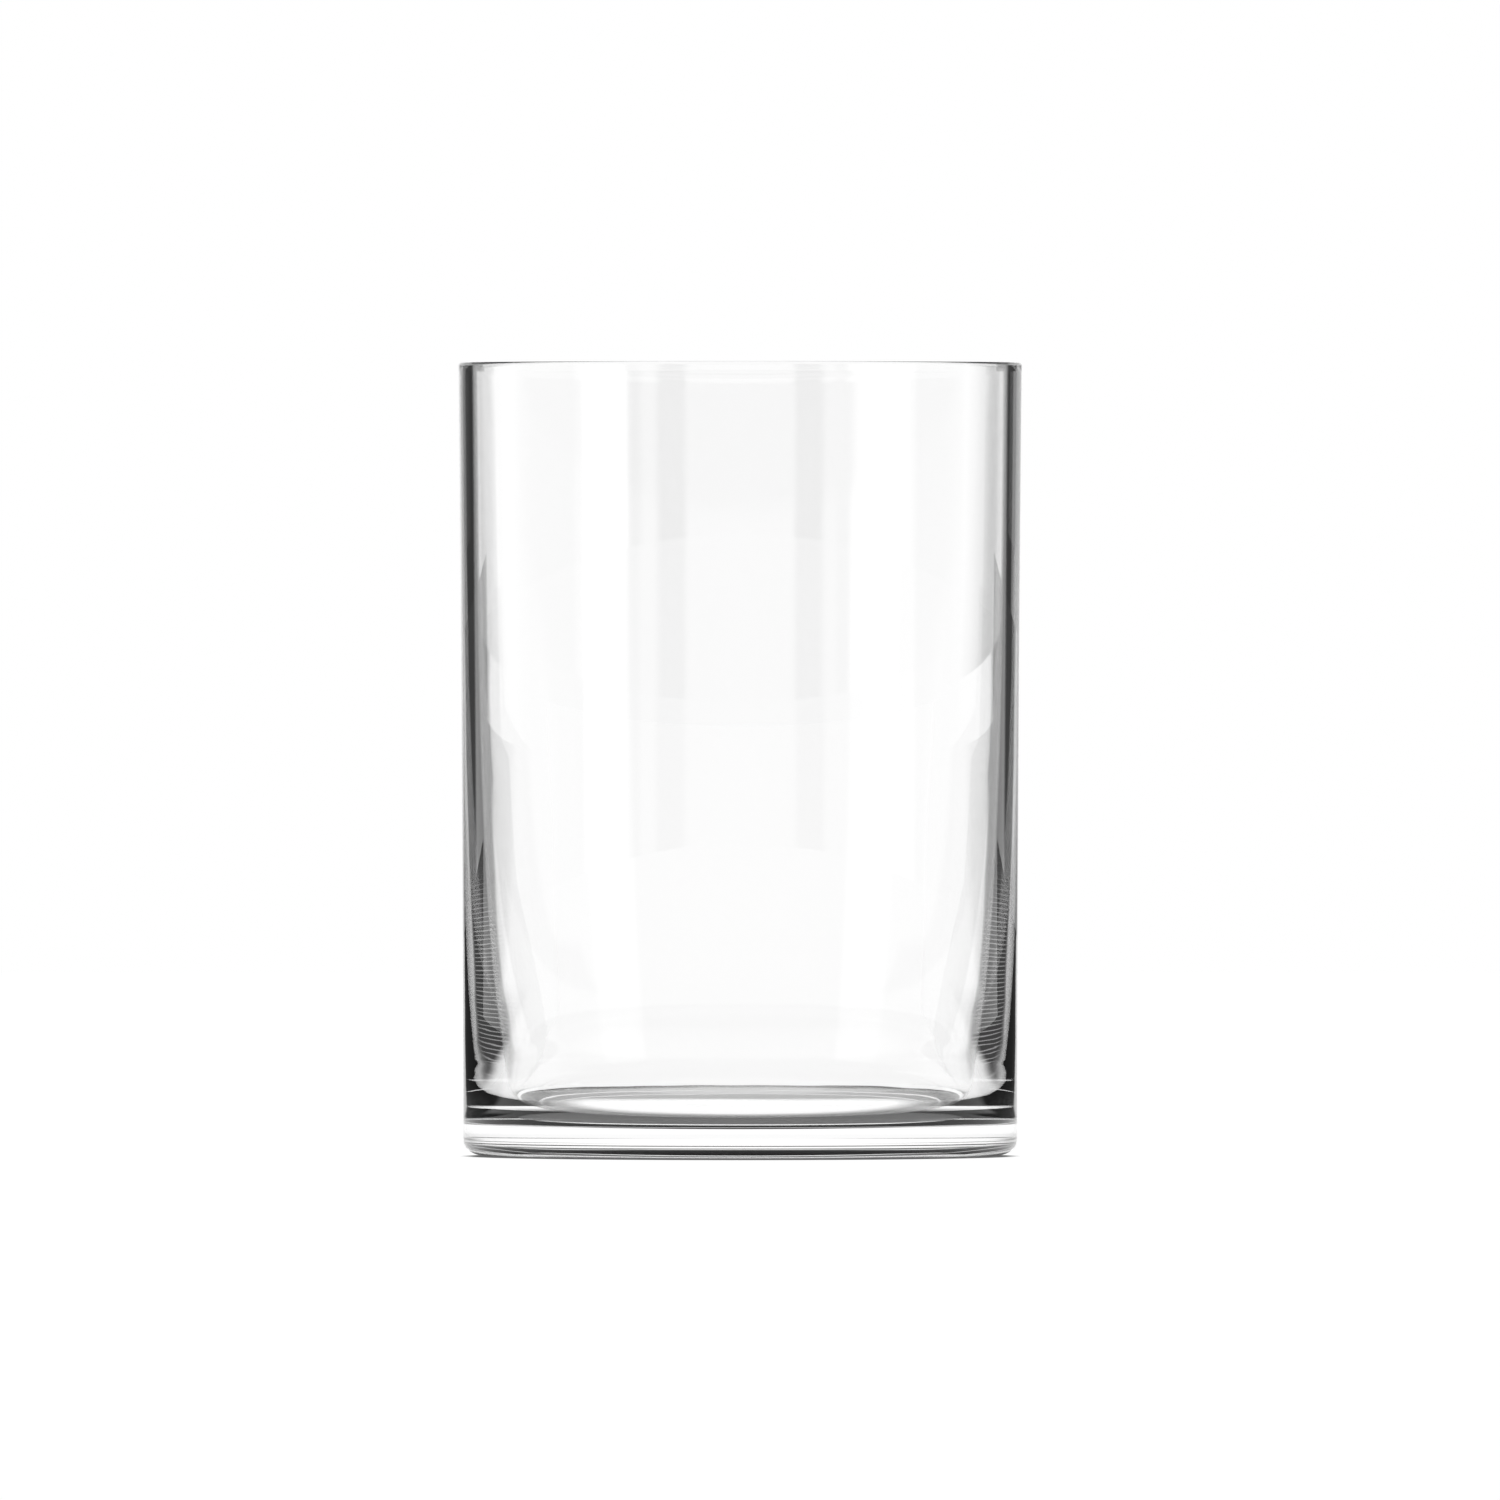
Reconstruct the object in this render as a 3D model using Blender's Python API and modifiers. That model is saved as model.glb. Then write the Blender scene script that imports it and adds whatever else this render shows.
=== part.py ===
"""Glass cylinder vase: one turned piece of clear glass, standing on its ring, mouth upwards.

Metres, +Z up. The origin is the centre of the ring that the vase stands on, and +Z is the axis
that it is turned about.
"""

from math import cos, exp, pi, sin

import bpy

# ---------------------------------------------------------------- driving dimensions

HEIGHT = 0.1785  # from the table to the top of the rim
RIM_DIAMETER = 0.1270  # outside, at the mouth
BASE_DIAMETER = 0.1248  # outside, just above the rounded heel
FLARE_POWER = 1.7  # 1 is a plain cone, more keeps the lower half upright

WALL_AT_RIM = 0.0033  # the wall high up, where it is thinnest
WALL_GAIN = 0.0092  # how much thicker the wall would be at table level
WALL_FADE = 0.0380  # the height in which that gain falls to a third

FLOOR_THICKNESS = 0.0059  # glass under the middle of the inside, measured from table level
DISH_RADIUS = 0.0450  # the inside floor is a very shallow dish out to here
DISH_RISE = 0.0009  # how much higher the dish is at its edge than in its middle
CORNER_TOP = 0.0212  # where the soft corner above the dish has become the wall
CORNER_PULL = 0.0080  # how long the corner keeps the direction it has at each end

HEEL_WIDTH = 0.00405  # how far in the rounding under the side reaches
HEEL_HEIGHT = 0.0034  # how far up it reaches
RIM_ROUNDING = 0.0006  # each edge of the rim, melted just enough to be safe to touch
RING_WIDTH = 0.0045  # the flat ring that touches the table
PUNT_DEPTH = 0.0010  # the hollow in the middle of the underside

# ---------------------------------------------------------------- how finely it is turned

STEPS_AROUND = 64
STEPS_UP_WALL = 12
STEPS_IN_DISH = 2
STEPS_IN_CORNER = 7
STEPS_IN_ROUNDING = 3
STEPS_IN_HEEL = 4
STEPS_IN_PUNT = 4
MERGE_DISTANCE = 0.0001
SMOOTH_UNDER = 0.6  # radians between faces


def outer_radius(height):
    """The outside of the wall: upright low down, opening a little towards the mouth."""
    opening = (RIM_DIAMETER - BASE_DIAMETER) / 2
    return BASE_DIAMETER / 2 + opening * (height / HEIGHT) ** FLARE_POWER


def inner_radius(height):
    """The inside of the wall, which thickens smoothly towards the base."""
    return outer_radius(height) - WALL_AT_RIM - WALL_GAIN * exp(-height / WALL_FADE)


def arc(centre, radius, start, end, steps):
    """Points on an arc, both ends included; angles run from +X towards +Z."""
    turns = [start + (end - start) * step / steps for step in range(steps + 1)]
    return [(centre[0] + radius * cos(turn), centre[1] + radius * sin(turn)) for turn in turns]


def dish():
    """The inside floor, from its middle out to where the corner starts."""
    shares = [step / STEPS_IN_DISH for step in range(STEPS_IN_DISH)]
    return [(DISH_RADIUS * share, FLOOR_THICKNESS + DISH_RISE * share**2) for share in shares]


def corner():
    """From the edge of the dish up to the foot of the wall, a Bezier curve tangent to both."""
    edge = FLOOR_THICKNESS + DISH_RISE
    slope = 2 * DISH_RISE / DISH_RADIUS
    below = CORNER_TOP - CORNER_PULL
    radii = [DISH_RADIUS, DISH_RADIUS + CORNER_PULL, inner_radius(below), inner_radius(CORNER_TOP)]
    heights = [edge, edge + CORNER_PULL * slope, below, CORNER_TOP]
    points = []
    for step in range(STEPS_IN_CORNER):
        t = step / STEPS_IN_CORNER
        weights = [(1 - t) ** 3, 3 * (1 - t) ** 2 * t, 3 * (1 - t) * t**2, t**3]
        radius = sum(weight * value for weight, value in zip(weights, radii))
        height = sum(weight * value for weight, value in zip(weights, heights))
        points.append((radius, height))
    return points


def inner_wall():
    """From the foot of the wall up to where the rim's inner edge starts to round over."""
    rise = HEIGHT - RIM_ROUNDING - CORNER_TOP
    heights = [CORNER_TOP + rise * step / STEPS_UP_WALL for step in range(STEPS_UP_WALL)]
    return [(inner_radius(height), height) for height in heights]


def rim():
    """Over the cut edge, from the inside to the outside, with a small rounding on each side."""
    level = HEIGHT - RIM_ROUNDING
    inside = (inner_radius(level) + RIM_ROUNDING, level)
    outside = (outer_radius(level) - RIM_ROUNDING, level)
    return arc(inside, RIM_ROUNDING, pi, pi / 2, STEPS_IN_ROUNDING) + arc(
        outside, RIM_ROUNDING, pi / 2, 0, STEPS_IN_ROUNDING
    )


def outer_wall():
    """Down the outside, between the rim's rounding and the heel's."""
    drop = HEIGHT - RIM_ROUNDING - HEEL_HEIGHT
    heights = [HEIGHT - RIM_ROUNDING - drop * step / STEPS_UP_WALL for step in range(1, STEPS_UP_WALL)]
    return [(outer_radius(height), height) for height in heights]


def heel():
    """Round the lower corner and in to the standing ring, as a quarter of an ellipse."""
    centre = outer_radius(HEEL_HEIGHT) - HEEL_WIDTH
    turns = [pi / 2 * step / STEPS_IN_HEEL for step in range(STEPS_IN_HEEL + 1)]
    return [(centre + HEEL_WIDTH * cos(turn), HEEL_HEIGHT * (1 - sin(turn))) for turn in turns]


def punt():
    """From the inner edge of the standing ring up into the shallow hollow, ending on the axis."""
    edge = outer_radius(HEEL_HEIGHT) - HEEL_WIDTH - RING_WIDTH
    shares = [1 - step / STEPS_IN_PUNT for step in range(STEPS_IN_PUNT + 1)]
    return [(edge * share, PUNT_DEPTH * (1 - share**2)) for share in shares]


def glass():
    """Clear soda-lime glass, polished by the flame on both sides."""
    material = bpy.data.materials.new("clear_glass")
    material.use_nodes = True
    shader = material.node_tree.nodes["Principled BSDF"]
    shader.inputs["Base Color"].default_value = (0.94, 0.95, 0.95, 1.0)
    shader.inputs["Roughness"].default_value = 0.02
    shader.inputs["Metallic"].default_value = 0.0
    shader.inputs["IOR"].default_value = 1.52
    shader.inputs["Transmission Weight"].default_value = 1.0
    return material


def turned(name, profile, material, collection):
    """An object made by turning a profile of (radius, height) points about +Z."""
    mesh = bpy.data.meshes.new(name)
    points = [(radius, 0.0, height) for radius, height in profile]
    mesh.from_pydata(points, [(i, i + 1) for i in range(len(points) - 1)], [])
    mesh.materials.append(material)
    piece = bpy.data.objects.new(name, mesh)
    collection.objects.link(piece)
    screw = piece.modifiers.new("turn", "SCREW")
    screw.axis = "Z"
    screw.steps = STEPS_AROUND
    screw.render_steps = STEPS_AROUND
    screw.use_merge_vertices = True
    screw.merge_threshold = MERGE_DISTANCE
    screw.use_smooth_shade = True
    return piece


def apply_turning(piece):
    """Keeps the turned mesh itself, smooth along the wall and crisp at real corners."""
    graph = bpy.context.evaluated_depsgraph_get()
    mesh = bpy.data.meshes.new_from_object(piece.evaluated_get(graph))
    piece.modifiers.clear()
    piece.data = mesh
    mesh.shade_smooth()
    mesh.set_sharp_from_angle(angle=SMOOTH_UNDER)


def main():
    for leftover in list(bpy.data.objects):
        bpy.data.objects.remove(leftover, do_unlink=True)
    vase = bpy.data.collections.new("glass_cylinder_vase")
    bpy.context.scene.collection.children.link(vase)
    profile = dish() + corner() + inner_wall() + rim() + outer_wall() + heel() + punt()
    apply_turning(turned("glass_vessel", profile, glass(), vase))


main()
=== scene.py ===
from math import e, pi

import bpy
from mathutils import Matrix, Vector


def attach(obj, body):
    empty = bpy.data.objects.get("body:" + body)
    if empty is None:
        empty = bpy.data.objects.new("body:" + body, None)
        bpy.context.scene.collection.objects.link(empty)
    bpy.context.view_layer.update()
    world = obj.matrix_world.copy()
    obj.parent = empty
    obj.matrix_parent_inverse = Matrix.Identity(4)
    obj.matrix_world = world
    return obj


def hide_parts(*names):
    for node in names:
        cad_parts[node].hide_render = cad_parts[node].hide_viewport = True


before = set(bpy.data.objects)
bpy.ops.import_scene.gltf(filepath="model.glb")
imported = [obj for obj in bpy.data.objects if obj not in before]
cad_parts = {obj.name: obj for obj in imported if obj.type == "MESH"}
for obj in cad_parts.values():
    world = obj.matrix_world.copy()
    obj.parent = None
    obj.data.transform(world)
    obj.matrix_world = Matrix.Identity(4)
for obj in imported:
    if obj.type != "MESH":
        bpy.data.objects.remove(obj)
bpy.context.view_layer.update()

# %% [markdown]
# # A clear glass cylinder vase, on a pale studio floor
# The vase is a florist's cylinder about 127 mm across and 178 mm tall, pressed and blown in one
# piece. It has a thick heavy foot, walls that thin out as they rise, and a fire-polished lip.
# A clear thing shows nothing but what it bends, so this lesson spends its effort in two places:
# on the exact section of the glass, and on the room of pale and dark cards that it bends.
# The frame that was just loaded holds the CAD of the same vase.

# %% [markdown]
# ## The sizes
# All sizes are in metres, and they are the ones that a glassworks would put on its drawing.
# The outside flares by a millimetre toward the lip. The inside is the outside less a wall whose
# thickness is a lip value plus a gain that dies away with height, as glass does when it is blown
# up from a heavy gather. The floor of the well is a very shallow dish, and a soft corner carries
# it up into the wall. Under the foot there is a flat ring to stand on and a shallow push-up. The
# last few sizes are for the ripples low on the inside: how deep they are, how far apart, how long
# round the vase, and how soon they fade up the wall.

# %% Named sizes
SIZES = {
    "Height": 0.1785,
    "Rim Diameter": 0.1270,
    "Base Diameter": 0.1248,
    "Flare Power": 1.7,
    "Wall At Rim": 0.0033,
    "Wall Gain": 0.0092,
    "Wall Fade": 0.0380,
    "Floor Thickness": 0.0059,
    "Dish Radius": 0.0450,
    "Dish Rise": 0.0009,
    "Corner Top": 0.0212,
    "Corner Pull": 0.0080,
    "Rim Rounding": 0.0006,
    "Heel Width": 0.00405,
    "Heel Height": 0.0034,
    "Ring Width": 0.0045,
    "Punt Depth": 0.0010,
    "Ripple Depth": 0.000007,
    "Ripple Pitch": 0.0011,
    "Ripple Length": 0.0130,
    "Ripple Fade": 0.0300,
}
COUNTS = {"Steps Around": 240, "Seed": 7}
for name, value in SIZES.items():
    print(f"{name:16} {value:.6g}")

# %% [markdown]
# ## Formulas as nodes
# Geometry Nodes does sums with Math nodes. Joining them by hand hides the formula, so this small
# class stands for one socket and lets Python's own signs make the nodes. After this, the section
# of the vase can be written almost as it would be on paper. The last helper here takes a place
# apart into its X, Y and Z.

# %% A socket that can be added and multiplied
tree = bpy.data.node_groups.new("Turned vase", "GeometryNodeTree")


class Field:
    def __init__(self, socket):
        self.socket = socket

    def __add__(self, other):
        return maths("ADD", self, other)

    def __sub__(self, other):
        return maths("SUBTRACT", self, other)

    def __rsub__(self, other):
        return maths("SUBTRACT", other, self)

    def __mul__(self, other):
        return maths("MULTIPLY", self, other)

    def __truediv__(self, other):
        return maths("DIVIDE", self, other)

    def __pow__(self, other):
        return maths("POWER", self, other)

    __radd__ = __add__
    __rmul__ = __mul__


def plug(value, socket):
    if isinstance(value, Field):
        socket.id_data.links.new(value.socket, socket)
    else:
        socket.default_value = value


def maths(operation, *values):
    owner = next(value.socket.id_data for value in values if isinstance(value, Field))
    node = owner.nodes.new("ShaderNodeMath")
    node.operation = operation
    for value, socket in zip(values, node.inputs):
        plug(value, socket)
    return Field(node.outputs[0])


def axes_of(place):
    split = place.id_data.nodes.new("ShaderNodeSeparateXYZ")
    place.id_data.links.new(place, split.inputs[0])
    return [Field(axis) for axis in split.outputs]


print("the tree is called", tree.name)

# %% [markdown]
# ## The inputs of the tree
# Every size becomes a named input, so that a learner can open the tree and try a taller vase or a
# thicker foot without touching a formula.

# %% Named inputs
io = tree.interface
for name, value in SIZES.items():
    io.new_socket(name, in_out="INPUT", socket_type="NodeSocketFloat").default_value = value
for name, value in COUNTS.items():
    io.new_socket(name, in_out="INPUT", socket_type="NodeSocketInt").default_value = value
io.new_socket("Glass", in_out="INPUT", socket_type="NodeSocketMaterial")
io.new_socket("Geometry", in_out="OUTPUT", socket_type="NodeSocketGeometry")
inputs = tree.nodes.new("NodeGroupInput")
size = {name: Field(inputs.outputs[name]) for name in SIZES}
print(len(io.items_tree), "sockets on the tree")

# %% [markdown]
# ## The two radii
# The whole shape hangs on two rules. The outer radius grows from the base to the rim as a power
# of the height, so nearly all of the flare is near the top. The inner radius is the outer one
# less the wall, and the wall is thick at the foot and thins quickly.

# %% Outer and inner radius at a height


def outer_radius(height):
    flare = (size["Rim Diameter"] - size["Base Diameter"]) * 0.5
    share = maths("MAXIMUM", height / size["Height"], 0.0)
    return size["Base Diameter"] * 0.5 + flare * share ** size["Flare Power"]


def inner_radius(height):
    fade = maths("EXPONENT", 0.0 - height / size["Wall Fade"])
    return outer_radius(height) - size["Wall At Rim"] - size["Wall Gain"] * fade


shoulder = size["Height"] - size["Rim Rounding"]
print("two radius rules written")

# %% [markdown]
# ## Patches of turned glass
# A patch is a flat grid. Its X runs once round the vase, and its Y runs along one stretch of the
# section. Set Position then rolls it up: the radius and the height are formulas in Y, and the
# angle comes from X. Each stretch begins where the last one ended, so the patches share their
# edges, and a Merge by Distance at the end makes them one closed skin.

# %% How a patch is made
ROWS = {
    "dish": 24,
    "corner": 44,
    "inner wall": 150,
    "lip, inside": 6,
    "lip, top": 6,
    "lip, outside": 6,
    "outer wall": 60,
    "heel": 20,
    "ring": 6,
    "push-up": 16,
}
patches = []
grid_x, grid_y, _ = axes_of(tree.nodes.new("GeometryNodeInputPosition").outputs[0])
turn = (0.5 - grid_x) * (2 * pi)
along = grid_y + 0.5
columns = maths("ADD", Field(inputs.outputs["Steps Around"]), 1)


def patch(title, radius, height):
    grid = tree.nodes.new("GeometryNodeMeshGrid")
    grid.label = title
    plug(columns, grid.inputs["Vertices X"])
    grid.inputs["Vertices Y"].default_value = ROWS[title] + 1
    place = tree.nodes.new("ShaderNodeCombineXYZ")
    plug(radius * maths("COSINE", turn), place.inputs["X"])
    plug(radius * maths("SINE", turn), place.inputs["Y"])
    plug(height, place.inputs["Z"])
    move = tree.nodes.new("GeometryNodeSetPosition")
    tree.links.new(grid.outputs["Mesh"], move.inputs["Geometry"])
    tree.links.new(place.outputs[0], move.inputs["Position"])
    patches.append(move.outputs[0])
    print(f"{title:14} {ROWS[title]} rows")


ease = along * along * (3.0 - along * 2.0)

# %% [markdown]
# ## The well
# The floor of the well is a shallow dish, the mark of the plunger. The corner is a Bezier curve
# whose handles lie along the dish and along the wall, so that neither end shows a crease.
# Bends like these decide how the base reads: a steep part of the corner throws the eye up to the
# ceiling, and a gentle part lets it through to the backdrop. Fine level ripples run round the
# corner and the foot of the wall. A noise that is stretched round the vase gives them, and they
# are real relief, a few thousandths of a millimetre deep.

# %% Ripples left by the plunger


def ripple(height):
    wave = tree.nodes.new("ShaderNodeTexNoise")
    wave.noise_dimensions = "4D"
    wave.inputs["Scale"].default_value = 1.0
    wave.inputs["Detail"].default_value = 2.0
    stretched = tree.nodes.new("ShaderNodeCombineXYZ")
    across = size["Rim Diameter"] * 0.5 / size["Ripple Length"]
    plug(across * maths("COSINE", turn), stretched.inputs["X"])
    plug(across * maths("SINE", turn), stretched.inputs["Y"])
    plug(height / size["Ripple Pitch"], stretched.inputs["Z"])
    tree.links.new(stretched.outputs[0], wave.inputs["Vector"])
    plug(Field(inputs.outputs["Seed"]), wave.inputs["W"])
    return Field(wave.outputs[0]) - 0.5


print("ripple rule written")

# %% Dish and corner
patch(
    "dish",
    size["Dish Radius"] * along,
    size["Floor Thickness"] + size["Dish Rise"] * along * along,
)

dish_edge = size["Floor Thickness"] + size["Dish Rise"]
dish_slope = size["Dish Rise"] / size["Dish Radius"] * 2.0
handle_low = size["Corner Top"] - size["Corner Pull"]
back = 1.0 - along
weights = [back**3, back * back * along * 3.0, back * along * along * 3.0, along**3]
corner_radii = [
    size["Dish Radius"],
    size["Dish Radius"] + size["Corner Pull"],
    inner_radius(handle_low),
    inner_radius(size["Corner Top"]),
]
corner_heights = [
    dish_edge,
    dish_edge + size["Corner Pull"] * dish_slope,
    handle_low,
    size["Corner Top"],
]
CHURN_ONSET = 1.5
CHURN_GAIN = 14.0
corner_radius = sum((w * r for w, r in zip(weights, corner_radii)), 0.0)
corner_height = sum((w * h for w, h in zip(weights, corner_heights)), 0.0)
churn = along**CHURN_ONSET * (1.0 + back * CHURN_GAIN)
corner_ripple = ripple(corner_height) * churn * size["Ripple Depth"]
patch("corner", corner_radius + corner_ripple, corner_height)

# %% [markdown]
# ## The wall, the lip and the outside
# The inner wall is a plain rule in height. The lip is two small quarter rounds with a narrow flat
# between them, which is what a quick pass through the flame leaves. Rows crowd together where a
# curve starts, because smooth shading spreads a bend over the whole of the last face.

# %% Inner wall, lip, outer wall
CROWDING = 0.4
climb = along * (along + CROWDING) / (1.0 + CROWDING)
wall_height = size["Corner Top"] + (shoulder - size["Corner Top"]) * climb
age = (wall_height - size["Corner Top"]) / size["Ripple Fade"]
wall_ripple = ripple(wall_height) * maths("EXPONENT", 0.0 - age) * size["Ripple Depth"]
patch("inner wall", inner_radius(wall_height) + wall_ripple, wall_height)

quarter = along * (pi / 2)
lip = size["Rim Rounding"]
lip_inside = inner_radius(shoulder)
lip_outside = outer_radius(shoulder)
patch(
    "lip, inside",
    lip_inside + lip * (1.0 - maths("COSINE", quarter)),
    shoulder + lip * maths("SINE", quarter),
)
lip_flat = lip_outside - lip_inside - lip * 2.0
patch("lip, top", lip_inside + lip + lip_flat * ease, size["Height"] + along * 0.0)
patch(
    "lip, outside",
    lip_outside - lip * (1.0 - maths("SINE", quarter)),
    shoulder + lip * maths("COSINE", quarter),
)

outside_height = size["Heel Height"] + (shoulder - size["Heel Height"]) * (1.0 - ease)
patch("outer wall", outer_radius(outside_height), outside_height)

# %% [markdown]
# ## The heel, the ring and the push-up
# The heel is a quarter of an ellipse, a little wider than it is tall. The vase stands on a flat
# ring, and the middle of the bottom is pushed up by a millimetre so that it can't rock.

# %% Heel, ring, push-up
heel_start = outer_radius(size["Heel Height"])
ring_outside = heel_start - size["Heel Width"]
ring_inside = ring_outside - size["Ring Width"]
patch(
    "heel",
    ring_outside + size["Heel Width"] * maths("COSINE", quarter),
    size["Heel Height"] * (1.0 - maths("SINE", quarter)),
)
patch("ring", ring_outside - size["Ring Width"] * ease, along * 0.0)
patch(
    "push-up",
    ring_inside * (1.0 - along),
    size["Punt Depth"] * (1.0 - (1.0 - along) * (1.0 - along)),
)

# %% [markdown]
# ## One closed skin
# The patches are joined, and Merge by Distance welds their shared edges, the seam at the back of
# each roll and the two poles on the axis. A vase isn't faceted, so the skin is shaded smooth. The
# tree ends in Realize Instances and Set Material, and a plain mesh is taken from the result.

# %% Join, weld, shade, and take a plain mesh
WELD = 0.000004


def chain(kind, geometry, label="Geometry"):
    node = tree.nodes.new(kind)
    tree.links.new(geometry, node.inputs[label])
    return node


joined = tree.nodes.new("GeometryNodeJoinGeometry")
for made in reversed(patches):
    tree.links.new(made, joined.inputs[0])
welded = chain("GeometryNodeMergeByDistance", joined.outputs[0])
welded.inputs["Distance"].default_value = WELD
smooth = chain("GeometryNodeSetShadeSmooth", welded.outputs[0])
plain = chain("GeometryNodeRealizeInstances", smooth.outputs[0])
coated = chain("GeometryNodeSetMaterial", plain.outputs[0])
tree.links.new(inputs.outputs["Glass"], coated.inputs["Material"])
result = tree.nodes.new("NodeGroupOutput")
tree.links.new(coated.outputs[0], result.inputs[0])
print(len(tree.nodes), "nodes in the tree")

# %% [markdown]
# ## The glass
# Soda-lime glass bends light with an index near 1.52, and this batch is nearly colourless. What
# keeps it from looking like a drawing is small. Blowing leaves faint waves that are drawn out up
# the wall, and a stretched noise gives them as a very weak bump. The flat ring under the foot is
# scuffed by shelves, so a fine noise roughens it in specks, and the scuffs stop 0.2 mm up.

# %% The glass finish
GLASS_INDEX = 1.52
GLASS_TINT = (0.997, 0.997, 0.997, 1.0)
glass = bpy.data.materials.new("Clear soda-lime glass")
glass.use_nodes = True
skin = glass.node_tree
shader = skin.nodes["Principled BSDF"]
shader.inputs["Base Color"].default_value = GLASS_TINT
shader.inputs["IOR"].default_value = GLASS_INDEX
shader.inputs["Transmission Weight"].default_value = 1.0
glass_place = skin.nodes.new("ShaderNodeTexCoord").outputs["Object"]
_, _, glass_height = axes_of(glass_place)
print("glass index", GLASS_INDEX)

# %% Drawn-out waves
WAVE_ACROSS = 0.009
WAVE_UP = 0.060
WAVE_DEPTH = 0.0000025
stretch = skin.nodes.new("ShaderNodeMapping")
stretch.inputs["Scale"].default_value = (1 / WAVE_ACROSS, 1 / WAVE_ACROSS, 1 / WAVE_UP)
skin.links.new(glass_place, stretch.inputs["Vector"])
waves = skin.nodes.new("ShaderNodeTexNoise")
waves.inputs["Scale"].default_value = 1.0
waves.inputs["Detail"].default_value = 1.0
skin.links.new(stretch.outputs[0], waves.inputs["Vector"])
relief = skin.nodes.new("ShaderNodeBump")
relief.inputs["Strength"].default_value = 1.0
relief.inputs["Distance"].default_value = WAVE_DEPTH
skin.links.new(waves.outputs[0], relief.inputs["Height"])
skin.links.new(relief.outputs[0], shader.inputs["Normal"])
print("waves", round(1e6 * WAVE_DEPTH, 1), "thousandths of a millimetre deep")

# %% Scuffs under the foot
SCUFF_HEIGHT = 0.0002
SCUFF_SIZE = 1 / 900
SCUFF_CUT = 0.55
SCUFF_ROUGHNESS = 0.12
scratches = skin.nodes.new("ShaderNodeTexNoise")
scratches.inputs["Scale"].default_value = 1 / SCUFF_SIZE
scratches.inputs["Detail"].default_value = 4.0
skin.links.new(glass_place, scratches.inputs["Vector"])
low_down = maths("LESS_THAN", glass_height, SCUFF_HEIGHT)
scuffed = maths("GREATER_THAN", Field(scratches.outputs[0]), SCUFF_CUT)
plug(low_down * scuffed * SCUFF_ROUGHNESS, shader.inputs["Roughness"])
print("scuffs up to", SCUFF_ROUGHNESS)

# %% [markdown]
# ## Make the vase
# A tree needs an object to run on. Its inputs are set by the sockets' identifiers, the object is
# evaluated, and the plain mesh that comes out is the vase: no modifier is left on it.

# %% Run the tree once
seed_object = bpy.data.objects.new("Turning", bpy.data.meshes.new("Turning"))
bpy.context.scene.collection.objects.link(seed_object)
turning = seed_object.modifiers.new("Turned vase", "NODES")
turning.node_group = tree
settings = {**SIZES, **COUNTS, "Glass": glass}
for item in io.items_tree:
    if item.name in settings:
        turning[item.identifier] = settings[item.name]
bpy.context.view_layer.update()
ready = seed_object.evaluated_get(bpy.context.evaluated_depsgraph_get())
vase = bpy.data.objects.new("glass_vase", bpy.data.meshes.new_from_object(ready))
bpy.context.scene.collection.objects.link(vase)
bpy.data.objects.remove(seed_object)
vase.data.materials.clear()
vase.data.materials.append(glass)
vase.data.polygons.foreach_set("material_index", [0] * len(vase.data.polygons))
vase.data.calc_loop_triangles()
print(len(vase.data.vertices), "points and", len(vase.data.loop_triangles), "triangles")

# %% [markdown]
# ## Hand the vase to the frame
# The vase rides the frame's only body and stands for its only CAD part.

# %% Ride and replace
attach(vase, "root")
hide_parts("glass_vessel")
print("the vase now stands for glass_vessel")

# %% [markdown]
# ## A graph as a node
# The floor, the room and the cards all say how bright something is at a place or in a direction.
# That is a graph with a few corners, so this helper draws one as a Float Curve. The node only
# knows 0 to 1, so the helper scales both ways on the way in and on the way out. Two smaller helpers
# fade from 0 to 1 between two values, and mix two levels. The last one is the distance from the
# middle line of the vase.

# %% Graph, fade, blend


def graph(value, points):
    start = points[0][0]
    span = points[-1][0] - start
    tallest = max(level for _, level in points)
    node = value.socket.id_data.nodes.new("ShaderNodeFloatCurve")
    line = node.mapping.curves[0]
    placed = [((at - start) / span, level / tallest) for at, level in points]
    line.points[0].location = placed[0]
    line.points[1].location = placed[-1]
    for dot in placed[1:-1]:
        line.points.new(*dot)
    for point in line.points:
        point.handle_type = "VECTOR"
    node.mapping.update()
    plug((value - start) / span, node.inputs["Value"])
    return Field(node.outputs[0]) * tallest


def fade_in(value, start, end):
    node = value.socket.id_data.nodes.new("ShaderNodeMapRange")
    node.interpolation_type = "SMOOTHSTEP"
    plug(value, node.inputs["Value"])
    plug(start, node.inputs["From Min"])
    plug(end, node.inputs["From Max"])
    return Field(node.outputs[0])


def blend(below, above, share):
    return below + share * (above - below)


def from_middle(x, y):
    return maths("SQRT", x * x + y * y)


print("helpers for light and dark written")
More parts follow.
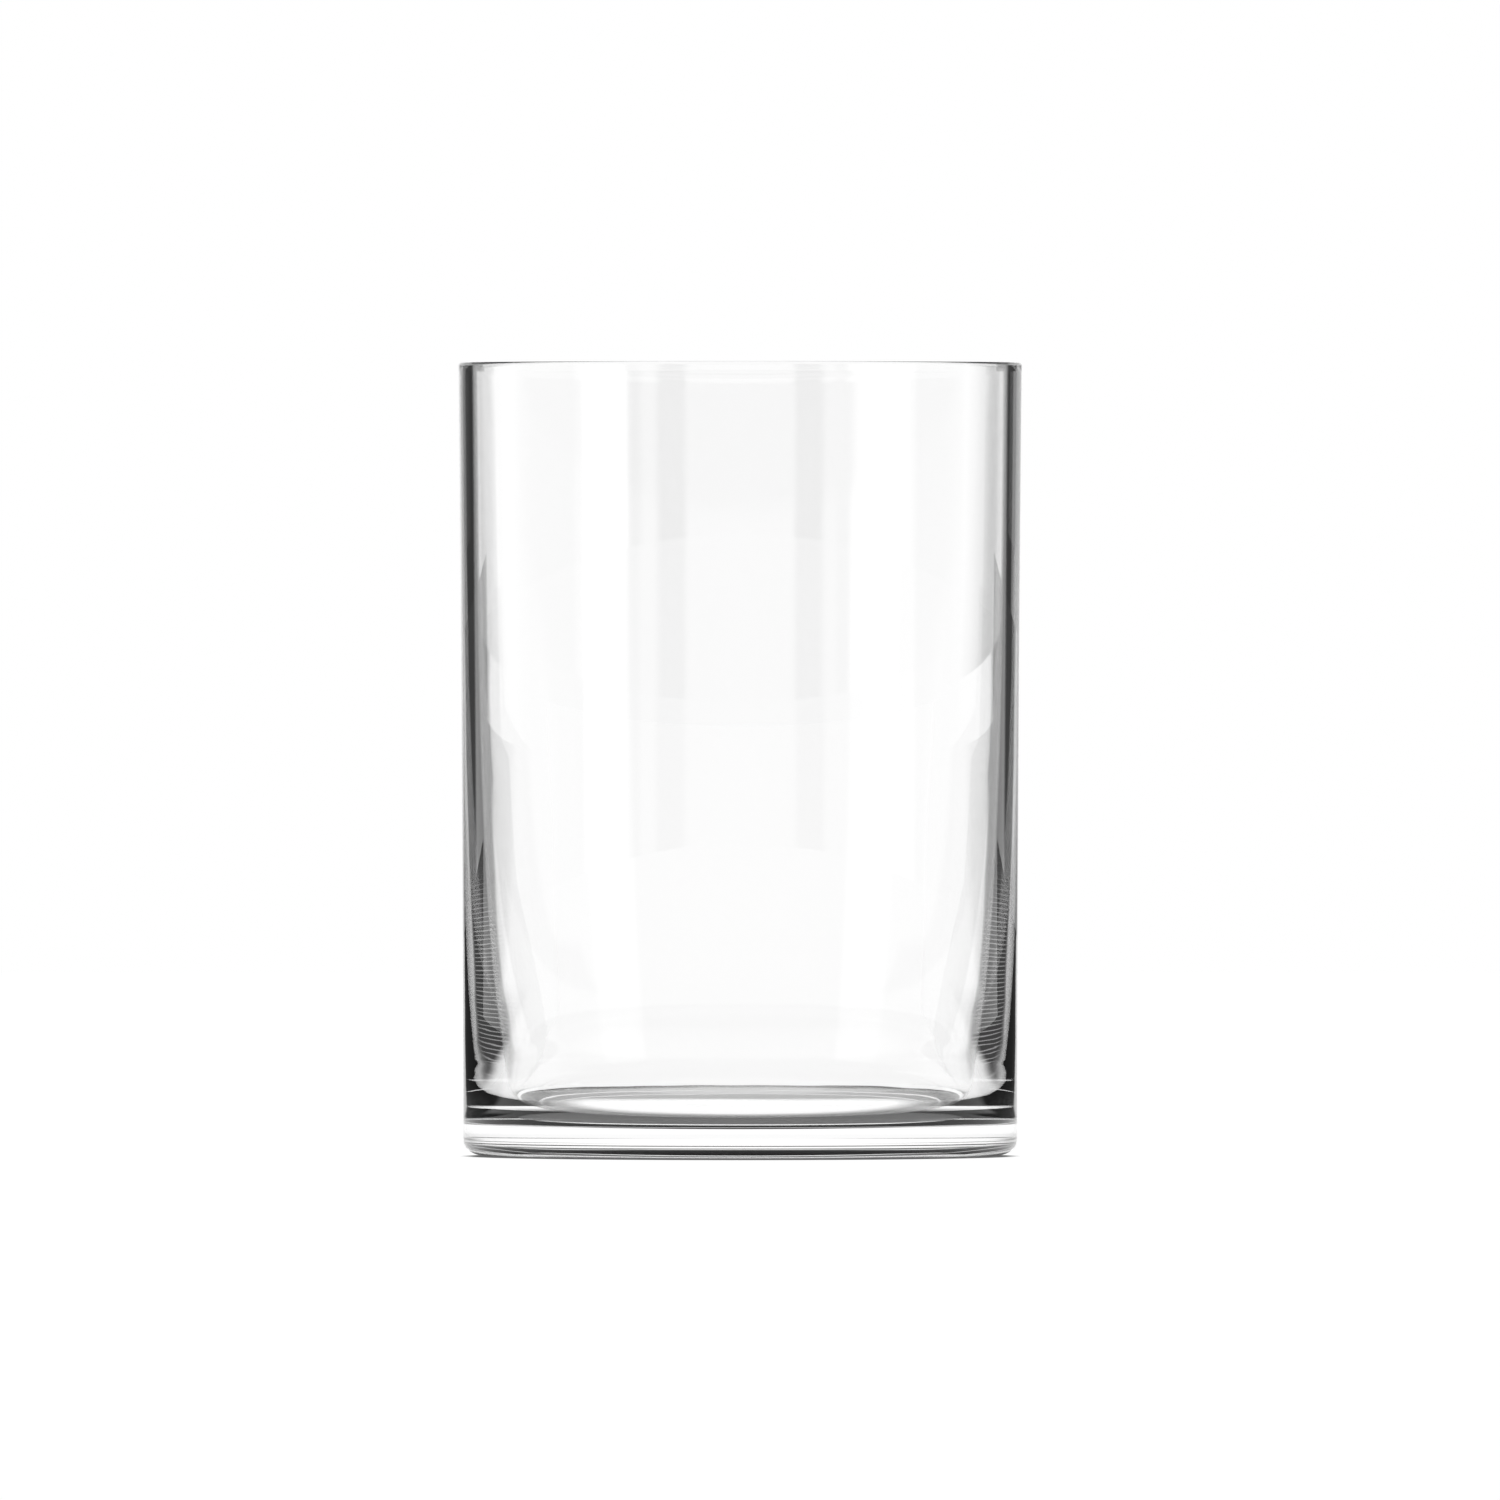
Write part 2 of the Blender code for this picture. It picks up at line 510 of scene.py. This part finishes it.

# %% [markdown]
# ## The floor
# A white sweep, lit so evenly that it shows no horizon. It has no gloss, and nearly all of its
# light is its own glow, given as a graph against the distance from the middle. The graph also
# holds painted shade and painted light: a dim ring under the foot is painted shade, where the thick
# corner of the glass would shade the floor, and the middle glows brighter than the rest as a
# painted pool of the light that the glass would gather there. The base of the vase bends the
# ring into its grey lens, and the bright middle shows as the white lens inside the grey one.

# %% A pale floor
FLOOR_RADIUS = 4.0
FLOOR_GAP = 0.0003
FLOOR_SIDES = 128
FLOOR_TINT = (0.2, 0.2, 0.2, 1.0)
# Painted shade and painted light: the glow drops to a dim ring under the foot and is brighter in the
# middle, where the glass would gather light.
FLOOR_GLOW_WITH_PAINTED_SHADE_AND_LIGHT = [
    (0.0, 1.1), (0.036, 1.1), (0.042, 0.1), (0.060, 0.1), (0.0635, 1.0), (0.08, 0.965), (0.1, 0.965),
]
bpy.ops.mesh.primitive_circle_add(vertices=FLOOR_SIDES, radius=FLOOR_RADIUS, fill_type="NGON")
floor = bpy.context.object
floor.name = "studio_floor"
floor.data.transform(Matrix.Translation((0.0, 0.0, -FLOOR_GAP)))
paper = bpy.data.materials.new("White sweep")
paper.use_nodes = True
matt = paper.node_tree.nodes["Principled BSDF"]
matt.inputs["Base Color"].default_value = FLOOR_TINT
matt.inputs["Specular IOR Level"].default_value = 0.0
matt.inputs["Emission Color"].default_value = (1.0, 1.0, 1.0, 1.0)
floor_place = paper.node_tree.nodes.new("ShaderNodeTexCoord").outputs["Object"]
floor_x, floor_y, _ = axes_of(floor_place)
# The floor's glow carries the painted shade ring under the foot and the painted pool of light in the
# middle.
plug(graph(from_middle(floor_x, floor_y), FLOOR_GLOW_WITH_PAINTED_SHADE_AND_LIGHT), matt.inputs["Emission Strength"])
floor.data.materials.append(paper)
print("floor of", 2 * FLOOR_RADIUS, "m across")

# %% [markdown]
# ## The room
# The room is described by two angles as seen from the vase: the bearing, which is 0 straight
# behind the vase and grows to the right, and the height above the horizon. The wall of the vase
# bends light by 20 to 33 degrees, so two dark cards at those bearings draw its dark edges, and
# they reach only just above the horizon, so that nothing else meets them. Two more stand in front
# for whoever walks round to the back. Above them hangs a pale screen, above that a dark grey one,
# and the ceiling is a little brighter again. Tall strips of light in front of the vase make the
# faint upright streaks on its outside, and two thin tubes on each side, one above the other, make
# the bright streaks in the lower corners. The camera itself sees none of it, only plain white.

# %% Bearing and height
room = bpy.data.worlds.new("Soft studio")
bpy.context.scene.world = room
room.use_nodes = True
air = room.node_tree
air.nodes.clear()
look_x, look_y, look_z = axes_of(air.nodes.new("ShaderNodeTexCoord").outputs["Generated"])
DEGREES = 180.0 / pi
bearing = maths("ARCTAN2", look_x, look_y) * DEGREES
height = maths("ARCSINE", look_z) * DEGREES
print("bearing and height are in degrees")

# %% Brightness by bearing
DIM = 0.12
horizon = graph(bearing, [
    (-180, 0.95), (-158, 0.9), (-156, 0.05), (-146, 0.05), (-144, 0.9), (-139, 0.9), (-137, 0.3),
    (-133, 0.3), (-131, 1.6), (-113, 1.6), (-111, 0.8), (-50, 1.1), (-38, 1.1), (-36, 0.04),
    (-21, 0.04), (-19, 0.16), (-15, 0.2), (-12, 0.7), (-8, 1.0), (6, 1.0), (9, 0.65),
    (12, 0.4), (22, 0.36), (24, 0.04), (36, 0.04), (38, 1.1), (50, 1.1), (102, 0.8), (104, 1.6),
    (126, 1.6), (128, 0.9), (144, 0.9), (146, 0.05), (156, 0.05), (158, 0.9), (180, 0.95),
])
screen = graph(bearing, [
    (-180, 0.2), (-130, 0.2), (-128, 1.2), (-105, 1.2), (-103, 0.6), (-75, 0.6), (-60, 1.1),
    (60, 1.1), (75, 0.6), (103, 0.6), (105, 1.2), (128, 1.2), (130, 0.2), (180, 0.2),
])
upper = graph(bearing, [
    (-180, 0.15), (-90, 0.03), (-60, 0.03), (-45, 0.28), (45, 0.28), (60, 0.03), (90, 0.03),
    (180, 0.15),
])
tubes = graph(bearing, [
    (-180, DIM), (-75, DIM), (-60, 1.1), (-30, 1.1), (-15, DIM), (15, DIM), (30, 1.1), (60, 1.1),
    (75, DIM), (180, DIM),
])
print("three bands of cards and the tubes")

# %% Stack the bands by height
CEILING = 0.35
PAPER_WHITE = 1.0
STACK = [
    (0.35, 0.6, screen),
    (15.0, 17.0, DIM),
    (18.5, 19.5, tubes),
    (21.5, 22.5, DIM),
    (23.0, 27.0, upper),
    (33.5, 34.5, tubes),
    (36.5, 37.5, upper),
    (60.0, 70.0, CEILING),
]
light = horizon
for starts, ends, band in STACK:
    light = blend(light, band, fade_in(height, starts, ends))
path = air.nodes.new("ShaderNodeLightPath")
light = blend(light, PAPER_WHITE, Field(path.outputs["Is Camera Ray"]))
backdrop = air.nodes.new("ShaderNodeBackground")
plug(light, backdrop.inputs["Color"])
air_out = air.nodes.new("ShaderNodeOutputWorld")
air.links.new(backdrop.outputs[0], air_out.inputs["Surface"])
print(len(air.nodes), "nodes in the room")

# %% [markdown]
# ## Two side cards
# Low down, the wall is thicker and its inside leans, so it throws the eye down on to the floor to
# the left and right of the vase. Two dark cards hang there, 8 mm above the floor, so that the
# foot itself still looks under them at the white floor. Each card is white toward the middle
# and dark beyond an edge that follows a curve, because the wall bends the eye further out the
# lower it is. The curve is given as the distance of that edge from the middle line, against the
# square root of the distance behind the middle of the vase, which gives the near part more room.

# %% Card outline and edge
CARD_HEIGHT = 0.008
CARD_CORNERS = [
    (0.068, 0.0), (0.058, 0.036), (0.060, 0.089), (0.060, 0.162), (0.072, 0.3), (0.092, 0.56),
    (0.150, 1.46), (0.320, 4.0), (4.1, 4.0), (1.25, 1.2), (1.25, 0.0),
]
CARD_EDGE = [
    (0.0, 0.062), (0.22, 0.074), (0.28, 0.085), (0.32, 0.092), (0.4, 0.116), (0.55, 0.160),
    (0.75, 0.222), (1.2, 0.410), (2.0, 0.95),
]
CARD_TONES = [
    (0.4, 1.0), (0.7, 0.99), (0.9, 0.97), (0.98, 0.85), (1.04, 0.25), (1.1, 0.07), (1.5, 0.05),
    (4.0, 0.07),
]
points = []
faces = []
for side in (-1, 1):
    faces.append([len(points) + step for step in range(len(CARD_CORNERS))])
    points += [(side * x, y, CARD_HEIGHT) for x, y in CARD_CORNERS]
card_mesh = bpy.data.meshes.new("side_cards")
card_mesh.from_pydata(points, [], faces)
cards = bpy.data.objects.new("side_cards", card_mesh)
bpy.context.scene.collection.objects.link(cards)
print(len(faces), "cards")

# %% [markdown]
# ### What is on the cards
# Near the vase the cards are slatted: thin bright gaps, closer and closer together, which the
# ripples in the glass break into dashes. Out to the sides, and along the front edge, they glow as
# white as the paper, painted light that the glass shows in place of a dark card, so that a walk
# round the vase shows little of them. Only the glass sees these cards. They are hidden from the
# camera, and they cast no shadow.

# %% Slats and ends painted with a white glow
GAPS = 45.0
GAP_LIGHT = 0.35
GAP_FADE = (0.6, 0.95)
GAPS_END = (0.6, 0.25)
GAPS_BEHIND_EDGE = (1.0, 1.15)
WHITE_GLOW_SWING = (64.0, 72.0)
WHITE_GLOW_REACH = (0.13, 0.18)
WHITE_GLOW_FRONT = (0.016, 0.002)
felt = bpy.data.materials.new("Dark card")
felt.use_nodes = True
felt_nodes = felt.node_tree
felt_nodes.nodes.clear()
card_place = felt_nodes.nodes.new("ShaderNodeTexCoord").outputs["Object"]
card_x, card_y, _ = axes_of(card_place)
sideways = maths("ABSOLUTE", card_x)
away = maths("SQRT", maths("MAXIMUM", card_y, 0.0))
share = sideways / graph(away, CARD_EDGE)
reach = from_middle(card_x, card_y)
gap = fade_in(maths("PINGPONG", maths("LOGARITHM", reach, e) * GAPS, 1.0), *GAP_FADE)
gap = gap * fade_in(reach, *GAPS_END) * fade_in(share, *GAPS_BEHIND_EDGE)
swing = maths("ARCTAN2", sideways, card_y) * DEGREES
# Painted light: out to the sides and at the front edge the card glows as white as the paper.
white_glow = fade_in(swing, *WHITE_GLOW_SWING) * fade_in(reach, *WHITE_GLOW_REACH)
white_glow = maths("MAXIMUM", white_glow, fade_in(card_y, *WHITE_GLOW_FRONT))
tone = blend(graph(share, CARD_TONES) + gap * GAP_LIGHT, PAPER_WHITE, white_glow)
print("slats", GAPS, "to each natural step of distance")

# %% Hang the cards where only the glass sees them
faint = felt_nodes.nodes.new("ShaderNodeEmission")
plug(tone, faint.inputs["Strength"])
felt_out = felt_nodes.nodes.new("ShaderNodeOutputMaterial")
felt_nodes.links.new(faint.outputs[0], felt_out.inputs["Surface"])
card_mesh.materials.append(felt)
cards.visible_camera = False
cards.visible_diffuse = False
cards.visible_shadow = False
print("two side cards staged")

# %% [markdown]
# ## The camera
# A long lens from nine metres keeps the sides of the vase almost parallel. It stands at about
# three quarters of the vase's height, so it looks slightly down on the base and slightly up at
# the lip.

# %% A long lens
FRAME_WIDTH = 0.33795
FAR_LIMIT = 100.0
DISTANCE = 9.0
EYE_HEIGHT = 0.1335
AIM = Vector((0.0022, 0.0, 0.0912))
lens = bpy.data.cameras.new("Long lens")
camera = bpy.data.objects.new("Long lens", lens)
bpy.context.scene.collection.objects.link(camera)
lens.lens = lens.sensor_width * DISTANCE / FRAME_WIDTH
lens.clip_end = FAR_LIMIT
camera.location = (0.0, -DISTANCE, EYE_HEIGHT)
camera.rotation_euler = (AIM - camera.location).to_track_quat("-Z", "Y").to_euler()
bpy.context.scene.camera = camera
bpy.context.scene.view_settings.view_transform = "Standard"
print("lens", round(lens.lens), "mm")
